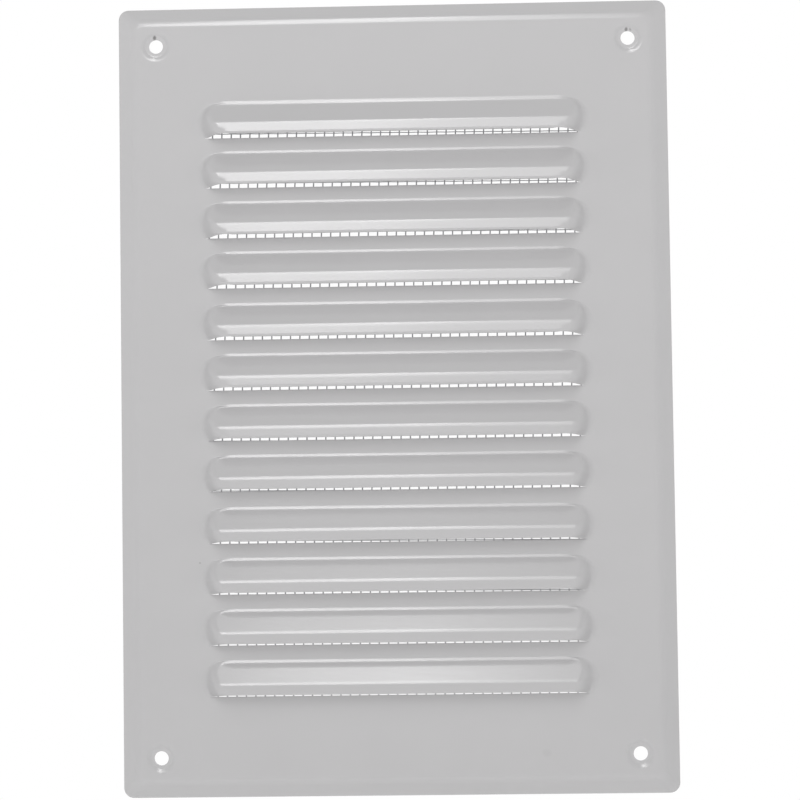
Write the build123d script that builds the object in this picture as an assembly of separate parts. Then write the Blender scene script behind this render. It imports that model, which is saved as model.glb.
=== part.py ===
from build123d import *
import os
from math import atan2, cos, degrees, pi, radians, sin, tan

# Ventilation grille: a steel plate pressed into louvres, with a woven insect mesh stuck to its back.
# It is modelled lying on its back (X right, Y up the plate, Z towards the room) and stood up at the end.
# Sizes are in millimetres, angles in degrees.

# Face plate, a shallow tray pressed from one sheet
plate_width = 165.0
plate_height = 236.6
rim_depth = 4.8
rim_taper = 45.0
sheet = 0.7
face_bend = 4.2
corner_bend = 5.0

# Louvres, formed four at a stroke, with a slightly longer step between strokes
louvres_per_stroke = 4
louvre_pitch = 15.05
stroke_gap = 0.38
side_margin = 24.85
end_margin = 27.0
field_lift = 0.4

# Section and ends of one louvre
slope_run = 6.5
slope_angle = 35.0
lip_height = 3.05
lip_angle = 9.0
slot_gap = 1.05
shear_gap = 0.1
end_angle = 44.0
base_tuck = 2.6
crown_tuck = 1.3
crown_bend = 2.0
crease_bend = 3.0
inner_facets = 8

# Screw holes, each in a pressed dimple
hole_inset_side = 11.8
hole_inset_end = 12.1
hole_diameter = 4.2
dimple_diameter = 8.4
dimple_depth = 0.8

# Insect mesh: upright wires at their real spacing, joined by a few cross wires
wire = 0.5
mesh_pitch = 2.8
mesh_rows = 2
mesh_overlap_side = 6.35
mesh_overlap_end = 8.5

# Adhesive bead around the edge of the mesh
bead_on_mesh = 4.0
bead_on_plate = 2.0
bead_cover = 1.0
bead_slope = 0.7

# One louvre, worked out
slope_rise = slope_run * tan(radians(slope_angle))
projection = slope_rise + lip_height * tan(radians(lip_angle))
louvre_rise = slope_run + lip_height + slot_gap
louvre_width = plate_width - 2 * side_margin

# The field of louvres: as many strokes as the plate has room for
stroke_step = louvres_per_stroke * louvre_pitch + stroke_gap
land = louvre_pitch - louvre_rise
strokes = int((plate_height - 2 * end_margin + land + stroke_gap) / stroke_step)
field_height = strokes * stroke_step - land - stroke_gap
top_slot = field_lift + field_height / 2 - louvre_rise
slots = []
for stroke in range(strokes):
    for place in range(louvres_per_stroke):
        slots.append(top_slot - stroke * stroke_step - place * louvre_pitch)

# Levels behind the face, and the mesh that covers the field
plate_back = rim_depth - sheet
mesh_thickness = 2 * wire
mesh_back = plate_back - mesh_thickness
mesh_width = louvre_width + 2 * mesh_overlap_side
mesh_height = field_height + 2 * mesh_overlap_end
hole_spacing = (plate_width - 2 * hole_inset_side, plate_height - 2 * hole_inset_end)
hole_places = GridLocations(*hole_spacing, 2, 2)


def tray(skin):
    # The filled tray, its surface moved in by the skin thickness
    inset = skin / cos(radians(rim_taper))
    blank = Rectangle(plate_width - 2 * inset, plate_height - 2 * inset)
    block = extrude(blank, rim_depth - skin, taper=rim_taper)
    hips = block.edges().filter_by(lambda edge: abs(edge.tangent_at(0.5).Z) > 0.1)
    block = fillet(hips, corner_bend - skin)
    return fillet(block.faces().sort_by(Axis.Z)[-1].edges(), face_bend - skin)


def above(y, z, lean):
    # A large block on the upper side of a plane through (0, y, z) that leans about X
    side = 2 * (plate_width + plate_height)
    block = Box(side, side, side, align=(Align.CENTER, Align.CENTER, Align.MIN))
    return Pos(0, y, z) * Rot(lean, 0, 0) * block


def stadium(width, top, bottom, level):
    # A round-ended outline between two heights on the plate
    return Pos(0, (top + bottom) / 2, level) * SlotOverall(width, top - bottom)


def faceted(width, top, bottom, level):
    # Corners of the same outline with its round ends in short straight facets
    radius = (top - bottom) / 2
    turns = [pi * (step / inner_facets - 0.5) for step in range(inner_facets + 1)]
    right = [(width / 2 - radius + radius * cos(turn), bottom + radius + radius * sin(turn)) for turn in turns]
    left = [(-x, y) for x, y in reversed(right)]
    return [Vector(x, y, level) for x, y in right + left]


def frustum(low, high):
    # The solid between two outlines with the same number of corners
    sides = [[low[i - 1], low[i], high[i], high[i - 1]] for i in range(len(low))]
    walls = [Face(Wire.make_polygon(corners)) for corners in [low, high, *sides]]
    return Part() + Solid(Shell(walls))


def scoop(skin):
    # One louvre standing on the face with its slot's lower edge at Y = 0, moved in by the skin thickness
    reach = projection + slot_gap / 2
    base_width = louvre_width - 2 * skin * tan(radians(end_angle / 2))
    base_top = louvre_rise - skin * tan(radians(slope_angle / 2))
    crown_width = base_width - 2 * reach / tan(radians(end_angle))
    crown_top = base_top - reach / tan(radians(slope_angle))
    base = (base_width, base_top, -base_tuck, -skin)
    crown = (crown_width, crown_top, -crown_tuck, reach - skin)
    form = frustum(faceted(*base), faceted(*crown)) if skin else loft([stadium(*base), stadium(*crown)], ruled=True)
    form -= above(slot_gap, projection - skin / cos(radians(lip_angle)), -lip_angle)
    if skin:
        return form - above(0, 0, 90)
    lip_lean = degrees(atan2(slot_gap - shear_gap, projection))
    form -= above(shear_gap, 0, 90 - lip_lean)
    lip = form.faces().filter_by(lambda face: face.normal_at().Z > 0.9).sort_by(Axis.Z)[-1]
    return fillet(lip.edges().sort_by(Axis.Y)[1:], crown_bend)


def crease(block):
    # Edges where the louvres rise out of the face, apart from the straight ones along the slots
    slack = 0.01
    edges = []
    for edge in block.edges():
        box = edge.bounding_box()
        on_face = box.min.Z > rim_depth - slack and box.max.Z < rim_depth + slack
        in_field = max(-box.min.X, box.max.X) < louvre_width / 2 + slack
        along_slot = min(abs(box.max.Y - slot) for slot in slots) < slot_gap
        if on_face and in_field and not along_slot:
            edges.append(edge)
    return edges


def dimple(skin):
    # The cone pressed in around a screw hole, its rim at Z = 0
    lean = atan2(dimple_depth, (dimple_diameter - hole_diameter) / 2)
    widening = skin * tan(lean / 2)
    top = dimple_diameter / 2 + widening
    bottom = hole_diameter / 2 + widening
    return Cone(bottom, top, dimple_depth, align=(Align.CENTER, Align.CENTER, Align.MAX))


def pressed_form(skin):
    # Tray, louvres and dimples as one filled form, its surface moved in by the skin thickness
    louvre = scoop(skin)
    form = tray(skin) + [Pos(0, slot, rim_depth) * louvre for slot in slots]
    if not skin:
        form = fillet(crease(form), crease_bend)
    return form - [place * Pos(0, 0, rim_depth - skin) * dimple(skin) for place in hole_places]


def face_plate():
    hole = Cylinder(hole_diameter / 2, 4 * rim_depth)
    return pressed_form(0) - pressed_form(sheet) - [place * hole for place in hole_places]


def insect_mesh():
    wall = Pos(0, field_lift, mesh_back) * extrude(Rectangle(mesh_width, mesh_height), mesh_thickness)
    columns = int((mesh_width - wire) / mesh_pitch)
    row_pitch = (mesh_height - wire) / mesh_rows
    gap = Box(mesh_pitch - wire, row_pitch - wire, 4 * rim_depth)
    places = GridLocations(mesh_pitch, row_pitch, columns, mesh_rows)
    return wall - [Pos(0, field_lift) * place * gap for place in places]


def adhesive_bead():
    # A frame that grips the edge of the mesh from behind and bonds it to the plate outside that edge
    outer = Rectangle(mesh_width + 2 * bead_on_plate, mesh_height + 2 * bead_on_plate)
    inner = Rectangle(mesh_width - 2 * bead_on_mesh, mesh_height - 2 * bead_on_mesh)
    bead = extrude(outer - inner, mesh_thickness + bead_cover)
    bead = chamfer(bead.faces().sort_by(Axis.Z)[0].edges(), bead_slope)
    bead -= Pos(0, 0, bead_cover) * extrude(Rectangle(mesh_width, mesh_height), mesh_thickness)
    return Pos(0, field_lift, mesh_back - bead_cover) * bead


os.makedirs("parts", exist_ok=True)
pieces = {"face_plate": face_plate(), "insect_mesh": insect_mesh(), "adhesive_bead": adhesive_bead()}
for name, piece in pieces.items():
    export_step(Plane.XZ * piece, f"parts/{name}.step")
    print(name, round(piece.volume, 1), piece.is_valid)
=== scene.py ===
import bmesh
import bpy
from math import cos, pi, radians, sin, tan
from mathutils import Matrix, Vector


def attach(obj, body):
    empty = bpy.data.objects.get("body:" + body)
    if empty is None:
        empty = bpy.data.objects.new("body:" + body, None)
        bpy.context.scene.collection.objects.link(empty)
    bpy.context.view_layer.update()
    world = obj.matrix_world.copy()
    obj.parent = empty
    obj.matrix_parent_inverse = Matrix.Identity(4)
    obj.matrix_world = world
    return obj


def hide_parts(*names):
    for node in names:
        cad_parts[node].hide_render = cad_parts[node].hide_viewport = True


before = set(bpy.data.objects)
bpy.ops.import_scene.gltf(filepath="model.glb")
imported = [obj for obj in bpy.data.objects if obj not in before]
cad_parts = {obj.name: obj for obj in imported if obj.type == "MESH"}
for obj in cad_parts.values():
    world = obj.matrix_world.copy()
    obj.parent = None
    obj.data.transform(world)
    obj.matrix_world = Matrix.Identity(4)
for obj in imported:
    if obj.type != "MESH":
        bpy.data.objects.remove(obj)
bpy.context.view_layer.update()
mm = 0.001
near = 1e-6  # points closer than this, in metres, are the same point
cutNear = 1e-7  # and for cutting
print("frame loaded")


# small helpers

def linear(hexColour):  # sRGB hex to linear RGBA
    parts = [int(hexColour[i:i + 2], 16) / 255 for i in (1, 3, 5)]
    return [c / 12.92 if c <= 0.04045 else ((c + 0.055) / 1.055) ** 2.4 for c in parts] + [1]


def addNode(tree, kind, settings=None, links=None):  # a node with its settings and the sockets that feed it
    node = tree.nodes.new(kind)
    for key, value in (settings or {}).items():
        if isinstance(key, int) or key in node.inputs:
            node.inputs[key].default_value = value
        else:
            setattr(node, key, value)
    for key, (source, output) in (links or {}).items():
        tree.links.new(source.outputs[output], node.inputs[key])
    return node


def newMaterial(name):
    material = bpy.data.materials.new(name)
    material.use_nodes = True
    material.node_tree.nodes.clear()
    return material, material.node_tree


def editPiece(piece):  # only this piece selected, in edit mode, all of it selected
    if bpy.context.mode != "OBJECT":
        bpy.ops.object.mode_set(mode="OBJECT")
    bpy.ops.object.select_all(action="DESELECT")
    piece.select_set(True)
    bpy.context.view_layer.objects.active = piece
    bpy.ops.object.mode_set(mode="EDIT")
    bpy.ops.mesh.select_all(action="SELECT")


def leaveEdit():
    bpy.ops.object.mode_set(mode="OBJECT")


def pick(kind, rule):  # select the verts, edges or faces that the rule is true for
    mesh = bpy.context.edit_object.data
    bpy.ops.mesh.select_mode(type=kind)
    bpy.ops.mesh.select_all(action="DESELECT")
    shape = bmesh.from_edit_mesh(mesh)
    items = {"VERT": shape.verts, "EDGE": shape.edges, "FACE": shape.faces}[kind]
    for item in items:
        if rule(item):
            item.select_set(True)
    shape.select_flush_mode()
    bmesh.update_edit_mesh(mesh)


def middle(item):  # middle point of an edge or face
    total = item.verts[0].co.copy()
    for vert in item.verts[1:]:
        total = total + vert.co
    return total / len(item.verts)


def freshPiece(name):  # names the primitive just added and puts its place in its mesh
    piece = bpy.context.object
    piece.name = name
    piece.data.name = name
    bpy.ops.object.transform_apply(location=True, rotation=True, scale=True)
    return piece


def copyPiece(piece, offset):  # a copy with its own mesh, moved by an offset
    twin = piece.copy()
    twin.data = piece.data.copy()
    bpy.context.collection.objects.link(twin)
    for vert in twin.data.vertices:
        vert.co += Vector(offset)
    return twin


def joinPieces(pieces):
    bpy.ops.object.select_all(action="DESELECT")
    for piece in pieces:
        piece.select_set(True)
    bpy.context.view_layer.objects.active = pieces[0]
    bpy.ops.object.join()
    return pieces[0]


def addModifier(piece, kind, settings):  # a modifier with its settings, applied at once
    bpy.ops.object.select_all(action="DESELECT")
    piece.select_set(True)
    bpy.context.view_layer.objects.active = piece
    modifier = piece.modifiers.new(kind.title(), kind)
    for key, value in settings.items():
        setattr(modifier, key, value)
    bpy.ops.object.modifier_apply(modifier=modifier.name)


def smooth(piece, angle):  # smooth shading, with creases sharper than the angle kept
    bpy.ops.object.select_all(action="DESELECT")
    piece.select_set(True)
    bpy.context.view_layer.objects.active = piece
    bpy.ops.object.shade_smooth_by_angle(angle=radians(angle))


def seenDirectly(tree):  # 1 for rays that look straight at a thing, or by mirror or glass
    rays = addNode(tree, "ShaderNodeLightPath")
    direct = addNode(tree, "ShaderNodeMath", {"operation": "MAXIMUM"},
                     {0: (rays, "Is Camera Ray"), 1: (rays, "Is Glossy Ray")})
    return addNode(tree, "ShaderNodeMath", {"operation": "MAXIMUM"},
                   {0: (direct, 0), 1: (rays, "Is Transmission Ray")})


# camera, where the photographer stood: square on, a little low and to the right

camera = {"place": (19.33, -663.86, -33.75), "turn": (92.8303, 0.7669, 1.6083), "lens": 100.03}

cameraData = bpy.data.cameras.new("camera")
cameraData.lens = camera["lens"]
cameraData.sensor_width = 36
cameraObject = bpy.data.objects.new("camera", cameraData)
cameraObject.location = [value * mm for value in camera["place"]]
cameraObject.rotation_euler = [radians(value) for value in camera["turn"]]
bpy.context.scene.collection.objects.link(cameraObject)
bpy.context.scene.camera = cameraObject
print("camera set")


# face plate: rim, louvres and dimples modelled apart, then joined by one flat sheet and given its gauge

plate = {"width": 165.0, "height": 236.6, "depth": 4.8, "gauge": 0.7,
         "cornerRound": 3.0, "faceBend": 4.2, "land": 2.05, "bendSteps": 9, "cornerSteps": 7,
         "smoothAngle": 40}
faceY = -plate["depth"] * mm  # front of the flat face

louvre = {"width": 115.3, "rise": 10.45, "slopeRun": 6.55, "slopeAngle": 35, "lipHeight": 3.2,
          "lipAngle": 9, "slotGap": 0.7, "endTuck": 1.4, "endAngle": 48, "creaseBend": 0.66,
          "creaseSpread": 0.12, "crownBend": 0.28, "endBend": 1.4, "endSpread": 0.45, "flange": 1.75,
          "endSteps": 64, "endCuts": (0.1, 1.4, 2.7, 4.0, 5.3), "rollWidth": 0.6, "rollDepth": 0.3,
          "edgeRollWidth": 0.45, "edgeRollDepth": 0.05, "edgeRollEnd": 1.5, "edgeRollSteps": 4,
          "innerGap": 0.001, "merge": 0.004}
louvreRings = (-1.4, -1.15, -0.95, -0.75, -0.6, -0.45, -0.3, -0.15, 0, 0.15, 0.3, 0.45, 0.6, 0.75, 1.0,
               1.3, 1.7, 2.0, 2.1, 2.2, 2.32, 2.45, 2.58, 2.72, 2.9, 3.3, 3.7, 4.1, 4.5, 4.8, 5.0, 5.1,
               5.2, 5.3, 5.4, 5.5, 5.65, 5.8)  # how far in from the outline
louvreField = {"topSlot": 78.055, "pitch": 15.05, "perStroke": 4, "strokes": 3, "strokeGap": 0.38}

# the profile is radius and depth, from the flat face in to the hole
dimple = {"insetSide": 11.8, "insetEnd": 12.1, "steps": 48,
          "profile": ((4.8, 0), (4.6, 0.012), (4.35, 0.052), (4.1, 0.119), (3.85, 0.215), (3.6, 0.342),
                      (3.35, 0.504), (3.2, 0.574), (3.1, 0.592), (2.6, 0.6), (2.1, 0.605))}


def makeRim():
    halfWidth = plate["width"] / 2
    halfHeight = plate["height"] / 2
    bpy.ops.object.select_all(action="DESELECT")
    bpy.ops.mesh.primitive_plane_add(size=1, location=(0, 0, 0), rotation=(pi / 2, 0, 0))
    rim = freshPiece("rim")
    editPiece(rim)
    bpy.ops.transform.resize(value=(plate["width"] * mm, 1, plate["height"] * mm))
    bpy.ops.mesh.bevel(offset=plate["cornerRound"] * mm, offset_type="OFFSET", affect="VERTICES",
                       segments=plate["cornerSteps"])  # round the outline's corners
    bpy.ops.mesh.select_all(action="SELECT")
    bpy.ops.mesh.delete(type="ONLY_FACE")
    bpy.ops.mesh.select_mode(type="EDGE")
    bpy.ops.mesh.select_all(action="SELECT")
    bpy.ops.mesh.extrude_edges_move(TRANSFORM_OT_translate={"value": (0, faceY, 0)})
    inWidth = halfWidth - plate["depth"]
    inHeight = halfHeight - plate["depth"]
    bpy.ops.transform.resize(value=(inWidth / halfWidth, 1, inHeight / halfHeight),
                             center_override=(0, faceY, 0))  # rim slopes in at 45 degrees
    bpy.ops.mesh.extrude_edges_move(TRANSFORM_OT_translate={"value": (0, 0, 0)})
    landWidth = inWidth - plate["land"]
    landHeight = inHeight - plate["land"]
    bpy.ops.transform.resize(value=(landWidth / inWidth, 1, landHeight / inHeight),
                             center_override=(0, faceY, 0))
    pick("EDGE", lambda edge: len(edge.link_faces) == 2 and abs(edge.verts[0].co.y - faceY) < near
         and abs(edge.verts[1].co.y - faceY) < near
         and not any(len(other.link_faces) == 1 for vert in edge.verts for other in vert.link_edges))
    bpy.ops.mesh.bevel(offset=plate["faceBend"] * tan(pi / 8) * mm, offset_type="OFFSET", affect="EDGES",
                       segments=plate["bendSteps"], clamp_overlap=False)
    leaveEdit()
    return rim


def blend(first, second, width):  # the lower of two heights, rounded where they meet
    overlap = max(width - abs(first - second), 0)
    return min(first, second) - overlap * overlap / (4 * width)


def pressedHeight(x, z):  # how far the press lifts the sheet at a place on one louvre
    baseRadius = (louvre["rise"] + louvre["endTuck"]) / 2
    fromMiddle = z - louvre["rise"] + baseRadius
    slopeRise = louvre["slopeRun"] * tan(radians(louvre["slopeAngle"]))
    lipTop = louvre["slotGap"] + louvre["lipHeight"]
    slope = (louvre["rise"] - z) * tan(radians(louvre["slopeAngle"]))
    lip = slopeRise + (lipTop - z) * tan(radians(louvre["lipAngle"]))
    inFromEnd = louvre["width"] / 2 - baseRadius + max(baseRadius ** 2 - fromMiddle ** 2, 0) ** 0.5 - abs(x)
    endWall = inFromEnd * tan(radians(louvre["endAngle"]))
    crown = blend(slope, lip, louvre["crownBend"])
    softness = louvre["endBend"] + louvre["endSpread"] * max(lipTop - z, 0)  # ends rounder near the slot
    pastEnd = max(abs(x) - louvre["width"] / 2 + baseRadius, 0)
    crease = louvre["creaseBend"] + louvre["creaseSpread"] * pastEnd  # and the crease widens round the end
    height = -blend(0, -blend(crown, endWall, softness), crease)
    full = slopeRise + louvre["lipHeight"] * tan(radians(louvre["lipAngle"]))
    aboveCut = z - louvre["slotGap"] * height / full
    nearCut = min(max(1 - aboveCut / louvre["rollWidth"], 0), 1)
    return height - louvre["rollDepth"] * nearCut ** 2 * height / full  # shearing rolls the lip's edge


def onSlotLine(vert):  # on the face, at the lower edge of the slot
    return abs(vert.co.y - faceY) < near and abs(vert.co.z) < near


def makeLouvre():
    projection = pressedHeight(0, louvre["slotGap"])
    baseRadius = (louvre["rise"] + louvre["endTuck"]) / 2
    baseX = louvre["width"] / 2 - baseRadius
    centre = (0, faceY, (louvre["rise"] - baseRadius) * mm)
    bpy.ops.object.select_all(action="DESELECT")
    radius = baseRadius + louvre["flange"]
    bpy.ops.mesh.primitive_circle_add(vertices=louvre["endSteps"], radius=radius * mm, location=centre,
                                      rotation=(pi / 2, pi / louvre["endSteps"], 0))
    form = freshPiece("louvre")
    editPiece(form)
    bpy.ops.mesh.select_mode(type="EDGE")
    bpy.ops.mesh.select_all(action="SELECT")
    for inset in louvreRings + (baseRadius - louvre["innerGap"],):  # rings from the flange to the middle
        bpy.ops.mesh.extrude_edges_move(TRANSFORM_OT_translate={"value": (0, 0, 0)})
        scale = (baseRadius - inset) / radius
        bpy.ops.transform.resize(value=(scale, 1, scale), center_override=centre)
        radius = baseRadius - inset
    for side in (1, -1):  # drawn apart to a long round-ended form
        pick("VERT", lambda vert: vert.co.x * side > 0)
        bpy.ops.transform.translate(value=(side * baseX * mm, 0, 0))
    bpy.ops.mesh.select_all(action="SELECT")
    bpy.ops.mesh.remove_doubles(threshold=louvre["merge"] * mm)
    for cut in louvre["endCuts"]:
        for side in (1, -1):
            bpy.ops.mesh.select_all(action="SELECT")
            bpy.ops.mesh.bisect(plane_co=(side * (baseX - cut) * mm, 0, 0), plane_no=(1, 0, 0),
                                threshold=cutNear)
    for vert in bmesh.from_edit_mesh(form.data).verts:  # pressed up
        vert.co.y = faceY - pressedHeight(vert.co.x / mm, vert.co.z / mm) * mm
    bpy.ops.mesh.select_all(action="SELECT")
    shearNormal = Vector((0, -louvre["slotGap"], -projection)).normalized()
    bpy.ops.mesh.bisect(plane_co=(0, faceY, 0), plane_no=shearNormal, clear_outer=True,
                        threshold=cutNear)  # sheared slot
    tip = min(abs(vert.co.x) for vert in bmesh.from_edit_mesh(form.data).verts if onSlotLine(vert))
    pick("VERT", lambda vert: onSlotLine(vert) and abs(vert.co.x) < tip + near)
    bpy.ops.mesh.edge_face_add()  # the slot's lower edge, from end to end
    bpy.ops.mesh.subdivide(number_cuts=2)
    rolled = tip - louvre["edgeRollEnd"] * mm
    for vert in bmesh.from_edit_mesh(form.data).verts:
        if onSlotLine(vert) and abs(vert.co.x) < tip - near:
            vert.co.x = rolled if vert.co.x > 0 else -rolled
    pick("EDGE", lambda edge: all(onSlotLine(vert) and abs(vert.co.x) < tip + near for vert in edge.verts))
    rollStep = louvre["edgeRollWidth"] / louvre["edgeRollSteps"] * mm
    for step in range(louvre["edgeRollSteps"]):
        bpy.ops.mesh.extrude_edges_move(TRANSFORM_OT_translate={"value": (0, 0, -rollStep)})
    for vert in bmesh.from_edit_mesh(form.data).verts:  # and rolls the slot's lower edge back
        if abs(vert.co.y - faceY) < near and vert.co.z < near and abs(vert.co.x) < rolled + near:
            share = 1 + vert.co.z / (louvre["edgeRollWidth"] * mm)
            vert.co.y += louvre["edgeRollDepth"] * mm * share ** 2
    leaveEdit()
    return form


def makeDimple():
    placeX = plate["width"] / 2 - dimple["insetSide"]
    placeZ = plate["height"] / 2 - dimple["insetEnd"]
    bpy.ops.object.select_all(action="DESELECT")
    centre = (placeX * mm, faceY, placeZ * mm)
    radius, deep = dimple["profile"][0]
    bpy.ops.mesh.primitive_circle_add(vertices=dimple["steps"], radius=radius * mm, location=centre,
                                      rotation=(pi / 2, 0, 0))
    form = freshPiece("dimple")
    editPiece(form)
    bpy.ops.mesh.select_mode(type="EDGE")
    bpy.ops.mesh.select_all(action="SELECT")
    for nextRadius, nextDeep in dimple["profile"][1:]:  # rings pressed in towards the hole
        bpy.ops.mesh.extrude_edges_move(TRANSFORM_OT_translate={"value": (0, (nextDeep - deep) * mm, 0)})
        scale = nextRadius / radius
        bpy.ops.transform.resize(value=(scale, 1, scale), center_override=centre)
        radius, deep = nextRadius, nextDeep
    leaveEdit()
    return form


def makeFacePlate():
    pieces = [makeRim()]
    print("rim", len(pieces[0].data.polygons))
    first = makeLouvre()
    print("louvre", len(first.data.polygons))
    slotZ = []
    for stroke in range(louvreField["strokes"]):
        for place in range(louvreField["perStroke"]):
            step = louvreField["perStroke"] * louvreField["pitch"] + louvreField["strokeGap"]
            slotZ.append(louvreField["topSlot"] - stroke * step - place * louvreField["pitch"])
    pieces += [copyPiece(first, (0, 0, z * mm)) for z in slotZ]
    corner = makeDimple()
    print("dimple", len(corner.data.polygons))
    acrossX = -(plate["width"] - 2 * dimple["insetSide"]) * mm
    downZ = -(plate["height"] - 2 * dimple["insetEnd"]) * mm
    pieces += [copyPiece(corner, (x, 0, z)) for x in (0, acrossX) for z in (0, downZ)]
    bpy.data.objects.remove(first)
    bpy.data.objects.remove(corner)
    facePlate = joinPieces(pieces)
    facePlate.name = "facePlate"
    facePlate.data.name = "facePlate"
    editPiece(facePlate)
    bpy.ops.mesh.remove_doubles(threshold=near)
    pick("EDGE", lambda edge: len(edge.link_faces) < 2 and abs(edge.verts[0].co.y - faceY) < near
         and abs(edge.verts[1].co.y - faceY) < near)
    bpy.ops.mesh.fill(use_beauty=True)  # the flat sheet between rim, louvres and dimples
    bpy.ops.mesh.select_all(action="SELECT")
    bpy.ops.mesh.normals_make_consistent(inside=False)
    leaveEdit()
    facing = sum(face.normal.y * face.area for face in facePlate.data.polygons)
    if facing > 0:
        editPiece(facePlate)
        bpy.ops.mesh.flip_normals()
        leaveEdit()
    addModifier(facePlate, "SOLIDIFY", {"thickness": plate["gauge"] * mm, "offset": -1,
                                        "use_quality_normals": True})
    editPiece(facePlate)
    bpy.ops.mesh.bisect(plane_co=(0, 0, 0), plane_no=(0, 1, 0), clear_outer=True, threshold=cutNear)
    pick("EDGE", lambda edge: len(edge.link_faces) == 1 and abs(middle(edge).y) < near)
    bpy.ops.mesh.bridge_edge_loops()  # the rim's edge, ground flat against the wall
    bpy.ops.mesh.select_all(action="SELECT")
    bpy.ops.mesh.normals_make_consistent(inside=False)
    leaveEdit()
    return facePlate


facePlate = makeFacePlate()
smooth(facePlate, plate["smoothAngle"])
addModifier(facePlate, "WEIGHTED_NORMAL", {"mode": "FACE_AREA", "weight": 50, "keep_sharp": True})
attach(facePlate, "root")
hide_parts("face_plate")
print("face plate", len(facePlate.data.polygons))


# insect mesh: one cell of plain weave, repeated both ways and trimmed to the mesh's edges

# one crossing's place is given in x and z; the uprights bow by so much at 10 mm from the middle
weave = {"upright": 0.44, "crosswise": 0.3, "pitchAcross": 2.8, "pitchUp": 2.9694, "leanUpright": 1.92,
         "dropAcross": 0.45, "width": 128.0, "height": 193.91, "centreZ": 0.4, "middleY": -3.6, "wave": 0.19,
         "sides": 6, "cuts": 3, "crossing": (-0.94, 1.86), "bow": 0.0071, "spareColumns": 6, "spareRows": 4,
         "merge": 0.01, "smoothAngle": 70}


def makeWire(alongX, length, offset, phase):  # one period of one wire, waved over and under
    radius = weave["crosswise" if alongX else "upright"] / 2 * mm  # cross wires show fainter in the photo
    turn = (0, pi / 2, 0) if alongX else (0, 0, 0)
    bpy.ops.object.select_all(action="DESELECT")
    bpy.ops.mesh.primitive_cylinder_add(vertices=weave["sides"], radius=radius, depth=length * mm,
                                        end_fill_type="NOTHING", location=(0, 0, 0), rotation=turn)
    wire = freshPiece("wire")
    editPiece(wire)
    axis = 0 if alongX else 2
    pick("EDGE", lambda edge: abs(edge.verts[0].co[axis] - edge.verts[1].co[axis]) > length * mm / 2)
    bpy.ops.mesh.subdivide(number_cuts=weave["cuts"])
    leaveEdit()
    for vert in wire.data.vertices:
        along = vert.co[axis] / (length * mm)
        vert.co.y += phase * weave["wave"] * mm * cos(2 * pi * along)
        vert.co.x += offset[0] * mm
        vert.co.z += offset[1] * mm
    return wire


def makeInsectMesh():
    across = weave["pitchAcross"]
    up = weave["pitchUp"]
    wires = [makeWire(False, 2 * up, (0, 0), 1), makeWire(False, 2 * up, (across, 0), -1),
             makeWire(True, 2 * across, (0, 0), -1), makeWire(True, 2 * across, (0, up), 1)]
    cell = joinPieces(wires)
    cell.name = "insectMesh"
    cell.data.name = "insectMesh"
    leanX = tan(radians(weave["leanUpright"]))
    dropZ = -tan(radians(weave["dropAcross"]))
    for vert in cell.data.vertices:  # the weave is pulled a little out of square
        x, z = vert.co.x, vert.co.z
        vert.co.x = x + z * leanX
        vert.co.z = z + x * dropZ
    columns = int(weave["width"] / across / 2) + weave["spareColumns"]
    rows = int(weave["height"] / up / 2) + weave["spareRows"]
    addModifier(cell, "ARRAY", {"count": columns, "use_relative_offset": False, "use_constant_offset": True,
                                "constant_offset_displace": (2 * across * mm, 0, 2 * across * mm * dropZ),
                                "use_merge_vertices": True, "merge_threshold": weave["merge"] * mm})
    addModifier(cell, "ARRAY", {"count": rows, "use_relative_offset": False, "use_constant_offset": True,
                                "constant_offset_displace": (2 * up * mm * leanX, 0, 2 * up * mm),
                                "use_merge_vertices": True, "merge_threshold": weave["merge"] * mm})
    toMiddleX = columns // 2 * 2 * across  # to the crossing nearest the middle
    toMiddleZ = rows // 2 * 2 * up
    for vert in cell.data.vertices:
        vert.co.x += weave["crossing"][0] * mm - toMiddleX * mm - toMiddleZ * mm * leanX
        vert.co.y += weave["middleY"] * mm
        vert.co.z += weave["crossing"][1] * mm - toMiddleZ * mm - toMiddleX * mm * dropZ
        vert.co.x += weave["bow"] * mm * (vert.co.z / (10 * mm)) ** 2
    editPiece(cell)
    for place, normal in (((weave["width"] / 2, 0), (1, 0)), ((-weave["width"] / 2, 0), (-1, 0)),
                          ((0, weave["centreZ"] + weave["height"] / 2), (0, 1)),
                          ((0, weave["centreZ"] - weave["height"] / 2), (0, -1))):
        bpy.ops.mesh.select_all(action="SELECT")
        bpy.ops.mesh.bisect(plane_co=(place[0] * mm, 0, place[1] * mm), plane_no=(normal[0], 0, normal[1]),
                            use_fill=True, clear_outer=True, threshold=cutNear)
    leaveEdit()
    return cell


insectMesh = makeInsectMesh()
smooth(insectMesh, weave["smoothAngle"])
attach(insectMesh, "root")
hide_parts("insect_mesh")
print("insect mesh", len(insectMesh.data.polygons))


# adhesive bead: a hand-laid bead round the edge of the mesh, a little uneven

bead = {"lineWidth": 126.0, "lineHeight": 191.91, "centreZ": 0.4, "baseY": -4.1, "wide": 6.0, "high": 2.0,
        "cornerRound": 4.0, "cornerSteps": 5, "cuts": 60, "roundSteps": 4, "longEdge": 20, "uneven": 0.05,
        "lump": 17.0, "ripple": 4.3, "rippleShare": 0.6, "runLean": 1.3, "smoothAngle": 60}


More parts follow.
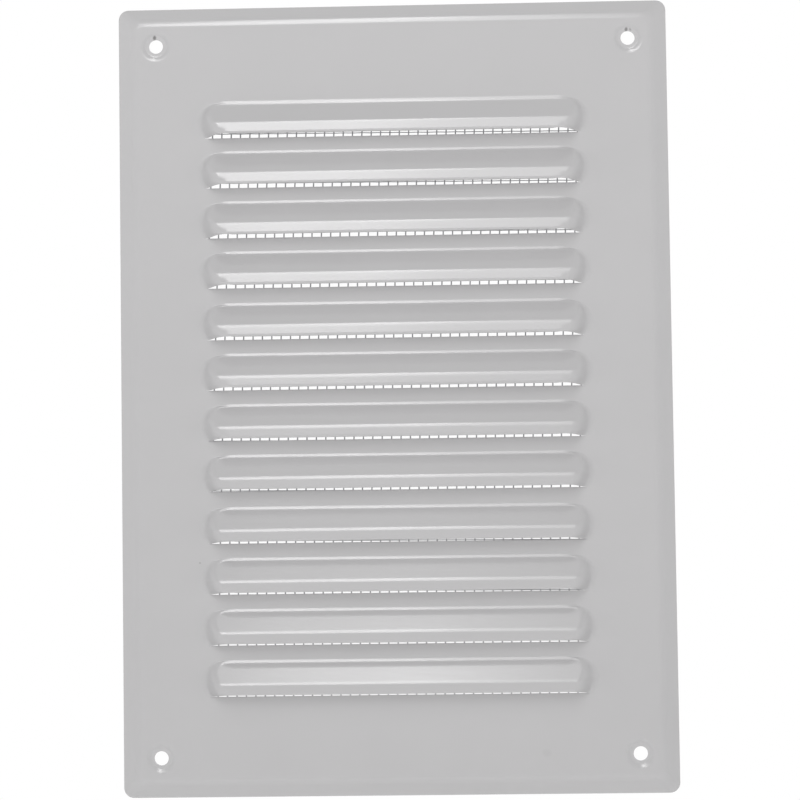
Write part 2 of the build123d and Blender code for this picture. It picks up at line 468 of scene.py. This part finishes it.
def makeAdhesiveBead():
    bpy.ops.object.select_all(action="DESELECT")
    bpy.ops.mesh.primitive_plane_add(size=1, location=(0, bead["baseY"] * mm, bead["centreZ"] * mm),
                                     rotation=(pi / 2, 0, 0))
    line = freshPiece("adhesiveBead")
    centre = (0, bead["baseY"] * mm, bead["centreZ"] * mm)
    editPiece(line)
    bpy.ops.transform.resize(value=(bead["lineWidth"] * mm, 1, bead["lineHeight"] * mm),
                             center_override=centre)
    bpy.ops.mesh.bevel(offset=bead["cornerRound"] * mm, offset_type="OFFSET", affect="VERTICES",
                       segments=bead["cornerSteps"])
    pick("EDGE", lambda edge: edge.calc_length() > bead["longEdge"] * mm)
    bpy.ops.mesh.subdivide(number_cuts=bead["cuts"])
    bpy.ops.mesh.select_all(action="SELECT")
    bpy.ops.mesh.delete(type="ONLY_FACE")
    leaveEdit()
    bpy.ops.object.convert(target="CURVE")
    line = bpy.context.object
    line.data.bevel_depth = bead["wide"] / 2 * mm
    line.data.bevel_resolution = bead["roundSteps"]
    bpy.ops.object.convert(target="MESH")
    line = bpy.context.object
    editPiece(line)
    bpy.ops.mesh.remove_doubles(threshold=near)
    bpy.ops.transform.resize(value=(1, bead["high"] / bead["wide"] * 2, 1), center_override=centre)
    bpy.ops.mesh.select_all(action="SELECT")
    bpy.ops.mesh.bisect(plane_co=centre, plane_no=(0, -1, 0), use_fill=False, clear_outer=True,
                        threshold=cutNear)
    pick("EDGE", lambda edge: len(edge.link_faces) == 1)
    bpy.ops.mesh.bridge_edge_loops()  # flat underside, stuck to the sheet
    bpy.ops.mesh.select_all(action="SELECT")
    bpy.ops.mesh.normals_make_consistent(inside=False)
    leaveEdit()
    halfX = bead["lineWidth"] / 2 * mm
    halfZ = bead["lineHeight"] / 2 * mm
    for vert in line.data.vertices:  # swells and thins along its length, never past its full section
        x = vert.co.x
        z = vert.co.z - bead["centreZ"] * mm
        nearX = max(-halfX, min(halfX, x))
        nearZ = max(-halfZ, min(halfZ, z))
        if halfX - abs(nearX) < halfZ - abs(nearZ):
            nearX = halfX if x > 0 else -halfX
        else:
            nearZ = halfZ if z > 0 else -halfZ
        run = (nearX + nearZ * bead["runLean"]) / mm
        waves = sin(run / bead["lump"] * 2 * pi) + bead["rippleShare"] * sin(run / bead["ripple"] * 2 * pi)
        swell = 1 - bead["uneven"] * (2 + waves)
        vert.co.x = nearX + (x - nearX) * swell
        vert.co.z = nearZ + (z - nearZ) * swell + bead["centreZ"] * mm
        vert.co.y = bead["baseY"] * mm + (vert.co.y - bead["baseY"] * mm) * swell
    return line


adhesiveBead = makeAdhesiveBead()
smooth(adhesiveBead, bead["smoothAngle"])
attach(adhesiveBead, "root")
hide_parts("adhesive_bead")
print("adhesive bead", len(adhesiveBead.data.polygons))


# materials

paint = {"colour": "#C5C4C5", "patchColour": "#C1C0C1", "patch": 26, "patchDetail": 2.0,
         "gloss": (0.14, 0.18), "ior": 1.7, "peel": 1.2, "peelDepth": 0.002, "markAndShadeColour": "#4A4846",
         "markDepth": 0.6, "markFade": (0.5, 1.2)}
# dark spots on the paint: painted shade in the dimples above the upper holes, then a real pinprick and a
# faint smudge
marksAndPaintedShade = [
    {"place": (-71.1, 108.85), "deep": 0.6, "size": (0.55, 0.8), "turn": 4, "shade": 0.7},  # painted shade in the dimple above the left hole
    {"place": (70.3, 108.75), "deep": 0.6, "size": (0.5, 0.75), "turn": 8, "shade": 0.65},  # painted shade in the dimple above the right hole, in two spots
    {"place": (71.5, 108.7), "deep": 0.6, "size": (0.35, 0.5), "turn": -25, "shade": 0.4},
    {"place": (-58.73, -48.69), "deep": 0, "size": (0.24, 0.24), "turn": 0, "shade": 0.45},  # pinprick
    {"place": (43.12, -105.74), "deep": 0, "size": (1.5, 1.2), "turn": 15, "shade": 0.05}]  # faint smudge
wireFinish = {"colour": "#BEBEC1", "patchColour": "#A9A9AB", "patch": 3.5, "patchDetail": 3.0,
              "gloss": (0.42, 0.58)}
glue = {"colour": "#DDD7C8", "patchColour": "#CBC3AF", "patch": 7, "patchDetail": 3.0, "gloss": (0.3, 0.5),
        "skin": 2.5, "skinDepth": 0.06, "scatter": 0.3, "scatterDepth": 0.8}


def patchy(tree, coords, finish):  # two close colours and two levels of gloss in soft patches
    patch = addNode(tree, "ShaderNodeTexNoise",
                    {"Scale": 1 / (finish["patch"] * mm), "Detail": finish["patchDetail"]},
                    {"Vector": (coords, "Object")})
    colour = addNode(tree, "ShaderNodeMix", {"data_type": "RGBA", 6: linear(finish["colour"]),
                                             7: linear(finish["patchColour"])}, {0: (patch, "Fac")})
    gloss = addNode(tree, "ShaderNodeMapRange", {"To Min": finish["gloss"][0], "To Max": finish["gloss"][1]},
                    {"Value": (patch, "Fac")})
    return colour, gloss


def greyPaint():  # stoved enamel on steel: soft highlights, faint orange peel, a pinprick, a faint smudge, and painted shade in the dimples above the upper holes
    material, tree = newMaterial("stovedGreyEnamel")
    coords = addNode(tree, "ShaderNodeTexCoord")
    colour, gloss = patchy(tree, coords, paint)
    for mark in marksAndPaintedShade:
        place = (mark["place"][0] * mm, faceY + mark["deep"] * mm, mark["place"][1] * mm)
        reach = (mark["size"][0] * mm, paint["markDepth"] * mm, mark["size"][1] * mm)  # not to the back
        centred = addNode(tree, "ShaderNodeMapping",
                          {"vector_type": "TEXTURE", "Location": place, "Scale": reach,
                           "Rotation": (0, radians(mark["turn"]), 0)}, {"Vector": (coords, "Object")})
        away = addNode(tree, "ShaderNodeVectorMath", {"operation": "LENGTH"}, {0: (centred, "Vector")})
        fade = addNode(tree, "ShaderNodeMapRange",
                       {"From Min": paint["markFade"][0], "From Max": paint["markFade"][1],
                        "To Min": mark["shade"], "To Max": 0.0}, {"Value": (away, "Value")})
        # each spot mixes the paint towards one dark colour, which serves both the painted shade by the holes
        # and the real pinprick and smudge
        colour = addNode(tree, "ShaderNodeMix", {"data_type": "RGBA", 7: linear(paint["markAndShadeColour"])},
                         {0: (fade, "Result"), 6: (colour, 2)})
    peel = addNode(tree, "ShaderNodeTexNoise", {"Scale": 1 / (paint["peel"] * mm), "Detail": 1.0},
                   {"Vector": (coords, "Object")})
    bump = addNode(tree, "ShaderNodeBump", {"Strength": 1.0, "Distance": paint["peelDepth"] * mm},
                   {"Height": (peel, "Fac")})
    surface = addNode(tree, "ShaderNodeBsdfPrincipled", {"IOR": paint["ior"]},
                      {"Base Color": (colour, 2), "Roughness": (gloss, "Result"),
                       "Normal": (bump, "Normal")})
    addNode(tree, "ShaderNodeOutputMaterial", {}, {"Surface": (surface, "BSDF")})
    return material


def galvanisedWire():  # zinc-coated steel wire gone dull in patches: grey, soft metallic shine
    material, tree = newMaterial("dullGalvanisedWire")
    coords = addNode(tree, "ShaderNodeTexCoord")
    colour, gloss = patchy(tree, coords, wireFinish)
    surface = addNode(tree, "ShaderNodeBsdfPrincipled", {"Metallic": 1.0},
                      {"Base Color": (colour, 2), "Roughness": (gloss, "Result")})
    addNode(tree, "ShaderNodeOutputMaterial", {}, {"Surface": (surface, "BSDF")})
    return material


def hotMelt():  # hot-melt adhesive: cloudy cream, waxy shine, a rippled skin
    material, tree = newMaterial("cloudyHotMelt")
    coords = addNode(tree, "ShaderNodeTexCoord")
    colour, gloss = patchy(tree, coords, glue)
    skin = addNode(tree, "ShaderNodeTexNoise", {"Scale": 1 / (glue["skin"] * mm), "Detail": 2.0},
                   {"Vector": (coords, "Object")})
    bump = addNode(tree, "ShaderNodeBump", {"Strength": 1.0, "Distance": glue["skinDepth"] * mm},
                   {"Height": (skin, "Fac")})
    surface = addNode(tree, "ShaderNodeBsdfPrincipled",
                      {"Subsurface Weight": glue["scatter"], "Subsurface Scale": glue["scatterDepth"] * mm},
                      {"Base Color": (colour, 2), "Roughness": (gloss, "Result"),
                       "Normal": (bump, "Normal")})
    addNode(tree, "ShaderNodeOutputMaterial", {}, {"Surface": (surface, "BSDF")})
    return material


def dress(piece, material):
    piece.data.materials.clear()
    piece.data.materials.append(material)


dress(facePlate, greyPaint())
dress(insectMesh, galvanisedWire())
dress(adhesiveBead, hotMelt())
print("materials set")


# studio: a white room bright in front and behind and dim overhead, a tall soft box above, a pale floor

studio = {"frontGlow": 1.02, "overheadGlow": 0.1, "backGlow": 1.1, "overheadFade": (10, 50),
          "backFade": (95, 105), "floorZ": -420, "floorSize": 1200, "floorColour": "#F2F2F2",
          "floorLift": 0.5, "boxDistance": 2000}
softBoxes = {
    "keyBox": {"elevation": 43.7, "azimuth": -6.7, "width": 305, "height": 1600, "glow": 4.1},
    "keyEdge": {"elevation": 43.7, "azimuth": 2.0, "width": 300, "height": 1600, "glow": 2.0},
    "sideBox": {"elevation": 38, "azimuth": -19, "width": 520, "height": 950, "glow": 1.6}}

world = bpy.data.worlds.new("whiteRoom")
bpy.context.scene.world = world
world.use_nodes = True
tree = world.node_tree
tree.nodes.clear()
seen = seenDirectly(tree)
coords = addNode(tree, "ShaderNodeTexCoord")
axes = addNode(tree, "ShaderNodeSeparateXYZ", {}, {"Vector": (coords, "Generated")})
forward = addNode(tree, "ShaderNodeMath", {"operation": "MULTIPLY", 1: -1.0}, {0: (axes, "Y")})
height = addNode(tree, "ShaderNodeMath", {"operation": "ARCTAN2"}, {0: (axes, "Z"), 1: (forward, 0)})
fadeFrom, fadeTo = [radians(angle) for angle in studio["overheadFade"]]
front = addNode(tree, "ShaderNodeMapRange",
                {"From Min": fadeFrom, "From Max": fadeTo, "To Min": studio["frontGlow"],
                 "To Max": studio["overheadGlow"]}, {"Value": (height, 0)})
turned = addNode(tree, "ShaderNodeMath", {"operation": "ABSOLUTE"}, {0: (height, 0)})
fadeFrom, fadeTo = [radians(angle) for angle in studio["backFade"]]
around = addNode(tree, "ShaderNodeMapRange",
                 {"From Min": fadeFrom, "From Max": fadeTo, "To Max": studio["backGlow"]},
                 {"Value": (turned, 0), "To Min": (front, "Result")})
room = addNode(tree, "ShaderNodeBackground", {"Color": (1, 1, 1, 1)}, {"Strength": (around, "Result")})
white = addNode(tree, "ShaderNodeBackground", {"Color": (1, 1, 1, 1), "Strength": 1.0})
both = addNode(tree, "ShaderNodeMixShader", {}, {0: (seen, 0), 1: (room, 0), 2: (white, 0)})
addNode(tree, "ShaderNodeOutputWorld", {}, {"Surface": (both, 0)})

for name, box in softBoxes.items():
    lamp = bpy.data.lights.new(name, "AREA")
    lamp.shape = "RECTANGLE"
    lamp.size = box["width"] * mm
    lamp.size_y = box["height"] * mm
    lamp.energy = box["glow"] * pi * lamp.size * lamp.size_y  # glow 1 is as bright as lit white
    lampObject = bpy.data.objects.new(name, lamp)
    up = radians(box["elevation"])
    side = radians(box["azimuth"])
    aim = Vector((sin(side) * cos(up), -cos(side) * cos(up), sin(up)))
    lampObject.location = aim * studio["boxDistance"] * mm
    lampObject.rotation_euler = aim.to_track_quat("Z", "Y").to_euler()
    lampObject.visible_camera = False
    bpy.context.scene.collection.objects.link(lampObject)

bpy.ops.object.select_all(action="DESELECT")
bpy.ops.mesh.primitive_plane_add(size=studio["floorSize"] * mm, location=(0, 0, studio["floorZ"] * mm))
floor = freshPiece("floor")
floorMaterial, tree = newMaterial("paleFloor")
seen = seenDirectly(tree)
matt = addNode(tree, "ShaderNodeBsdfDiffuse", {"Color": linear(studio["floorColour"])})
glow = addNode(tree, "ShaderNodeEmission", {"Color": (1, 1, 1, 1), "Strength": studio["floorLift"]})
lifted = addNode(tree, "ShaderNodeAddShader", {}, {0: (matt, 0), 1: (glow, 0)})
both = addNode(tree, "ShaderNodeMixShader", {}, {0: (seen, 0), 1: (matt, 0), 2: (lifted, 0)})
addNode(tree, "ShaderNodeOutputMaterial", {}, {"Surface": (both, 0)})
dress(floor, floorMaterial)

bpy.context.scene.view_settings.view_transform = "Standard"
